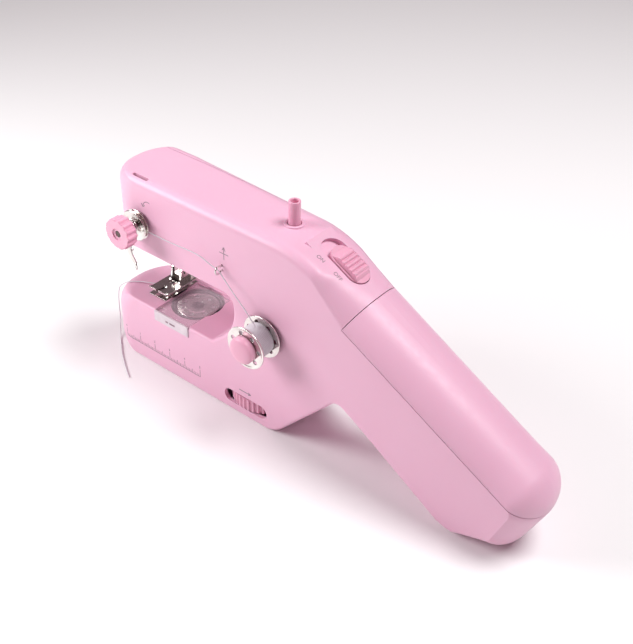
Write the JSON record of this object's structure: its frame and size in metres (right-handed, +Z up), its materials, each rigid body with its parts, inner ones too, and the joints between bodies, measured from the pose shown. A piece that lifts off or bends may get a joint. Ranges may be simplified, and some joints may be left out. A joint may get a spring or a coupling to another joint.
{
  "type": "handheld sewing machine",
  "caption": "Hand-held electric sewing machine with a throat between arm and bed, a sloping battery handle, presser foot, tension dial and side-mounted bobbin.",
  "frame": {"origin": "on the flat base, under the axis of the bed bobbin, midway through the case's depth", "axes": "+X from the needle end towards the handle, -Y out of the front face with the knob, +Z up"},
  "size_m": [0.2415, 0.0557, 0.1145],
  "materials": {
    "case_plastic": "satin moulded",
    "trim_plastic": "satin moulded",
    "polished_steel": "polished",
    "steel": "ground",
    "dark_metal": "blackened",
    "gear_plastic": "natural moulded",
    "black_plastic": "moulded",
    "tray_plastic": "moulded",
    "bearing_brass": "sintered",
    "clear_plastic": "clear moulded",
    "cell_skin": "wrapped",
    "white_thread": "twisted"
  },
  "bodies": {
    "case": {"main_shell": "case_plastic", "back_cover": "case_plastic", "case_screw_1": "steel", "case_screw_2": "steel", "case_screw_3": "steel", "case_screw_4": "steel", "needle_plate": "polished_steel", "bobbin_case": "black_plastic", "arm_bearing": "bearing_brass", "motor": "steel", "tension_post": "dark_metal", "rear_tension_disc": "polished_steel", "front_tension_disc": "polished_steel", "check_spring": "polished_steel", "tension_spring": "polished_steel", "lower_thread_guide": "polished_steel", "thread_eyelet": "polished_steel", "bobbin_spindle": "trim_plastic", "bobbin_cap": "trim_plastic", "spindle_spring": "dark_metal", "presser_spring": "steel", "switch_block": "black_plastic", "battery_tray": "tray_plastic", "battery_cell_1": "cell_skin", "battery_cell_2": "cell_skin", "battery_cell_3": "cell_skin", "battery_cell_4": "cell_skin", "upper_thread": "white_thread", "thread_tail": "white_thread"},
    "drive_shaft": {"main_shaft": "steel", "hook_drive_gear": "gear_plastic", "reduction_gear": "gear_plastic", "shaft_bevel": "gear_plastic", "hand_wheel": "trim_plastic"},
    "idler": {"idler_gear": "gear_plastic"},
    "hook": {"rotary_hook": "polished_steel", "hook_gear": "gear_plastic"},
    "arm_drive": {"arm_shaft": "steel", "arm_bevel": "gear_plastic", "crank_disc": "gear_plastic"},
    "pinion": {"motor_pinion": "steel"},
    "needle_unit": {"needle_bar": "polished_steel", "needle_clamp": "polished_steel", "needle": "polished_steel"},
    "take_up": {"take_up_lever": "steel"},
    "feed": {"feed_dog": "steel"},
    "presser": {"presser_bar": "polished_steel", "foot_holder": "polished_steel", "foot_pin": "polished_steel"},
    "foot": {"presser_foot": "polished_steel"},
    "lifter": {"presser_lifter": "trim_plastic"},
    "tension_dial": {"tension_knob": "trim_plastic"},
    "thread_bobbin": {"front_bobbin": "polished_steel", "front_bobbin_thread": "white_thread"},
    "lower_bobbin": {"bed_bobbin": "polished_steel", "bed_bobbin_thread": "white_thread"},
    "bobbin_lid": {"bobbin_cover": "clear_plastic"},
    "thread_pin": {"spool_pin": "trim_plastic"},
    "power_switch": {"switch_slider": "trim_plastic"},
    "battery_lid": {"battery_cover": "case_plastic"}
  },
  "joints": [
    {"name": "shaft_spin", "type": "hinge", "parent": "case", "child": "drive_shaft", "pos_m": [0.04588, -0.0025, 0.0084], "axis": [0, 0, 1], "continuous": true},
    {"name": "idler_spin", "type": "hinge", "parent": "case", "child": "idler", "pos_m": [0.02, 0, 0.0145], "axis": [0, 0, 1], "continuous": true},
    {"name": "hook_spin", "type": "hinge", "parent": "case", "child": "hook", "pos_m": [0, 0, 0.0145], "axis": [0, 0, 1], "continuous": true},
    {"name": "arm_spin", "type": "hinge", "parent": "case", "child": "arm_drive", "pos_m": [0, -0.0025, 0.086], "axis": [1, 0, 0], "continuous": true},
    {"name": "pinion_spin", "type": "hinge", "parent": "case", "child": "pinion", "pos_m": [0.0604, 0.002, 0.0735], "axis": [0, 0, 1], "continuous": true},
    {"name": "needle_slide", "type": "slide", "parent": "case", "child": "needle_unit", "axis": [0, 0, 1], "range_m": [-0.016, 0]},
    {"name": "take_up_swing", "type": "hinge", "parent": "case", "child": "take_up", "pos_m": [0.012, -0.0148, 0.0955], "axis": [0, 1, 0], "range_deg": [-18, 0]},
    {"name": "feed_shift", "type": "slide", "parent": "case", "child": "feed", "axis": [0, 1, 0], "range_m": [-0.00125, 0.00125]},
    {"name": "lifter_turn", "type": "hinge", "parent": "case", "child": "lifter", "pos_m": [-0.0078, 0.0165, 0.078], "axis": [0, 1, 0], "range_deg": [-70, 0]},
    {"name": "presser_slide", "type": "slide", "parent": "case", "child": "presser", "axis": [0, 0, 1], "range_m": [0, 0.0035], "deforming": ["presser_spring"]},
    {"name": "foot_tilt", "type": "hinge", "parent": "presser", "child": "foot", "pos_m": [-0.0168, 0.0056, 0.0436], "axis": [1, 0, 0], "range_deg": [-3, 3]},
    {"name": "tension_turn", "type": "hinge", "parent": "case", "child": "tension_dial", "pos_m": [-0.0161, -0.0288, 0.0812], "axis": [0, -1, 0], "range_deg": [-360, 360]},
    {"name": "thread_bobbin_spin", "type": "hinge", "parent": "case", "child": "thread_bobbin", "pos_m": [0.0587, -0.025, 0.0548], "axis": [0, -1, 0], "continuous": true},
    {"name": "lower_bobbin_spin", "type": "hinge", "parent": "case", "child": "lower_bobbin", "pos_m": [0, 0, 0.0275], "axis": [0, 0, 1], "continuous": true},
    {"name": "bobbin_lid_slide", "type": "slide", "parent": "case", "child": "bobbin_lid", "axis": [0, -1, 0], "range_m": [0, 0.031]},
    {"name": "thread_pin_slide", "type": "slide", "parent": "case", "child": "thread_pin", "axis": [0, 0, -1], "range_m": [0, 0.01]},
    {"name": "switch_slide", "type": "slide", "parent": "case", "child": "power_switch", "axis": [-0.8729, 0, 0.4879], "range_m": [0, 0.005]},
    {"name": "battery_lid_slide", "type": "slide", "parent": "case", "child": "battery_lid", "axis": [0.8729, 0, -0.4879], "range_m": [0, 0.04]}
  ],
  "couplings": [
    {"joint": "idler_spin", "follows": "shaft_spin", "ratio": -0.85714},
    {"joint": "hook_spin", "follows": "shaft_spin", "ratio": 2},
    {"joint": "arm_spin", "follows": "shaft_spin", "ratio": -1},
    {"joint": "pinion_spin", "follows": "shaft_spin", "ratio": -3.75},
    {"joint": "lifter_turn", "follows": "presser_slide", "rad_per_m": -349.07}
  ]
}
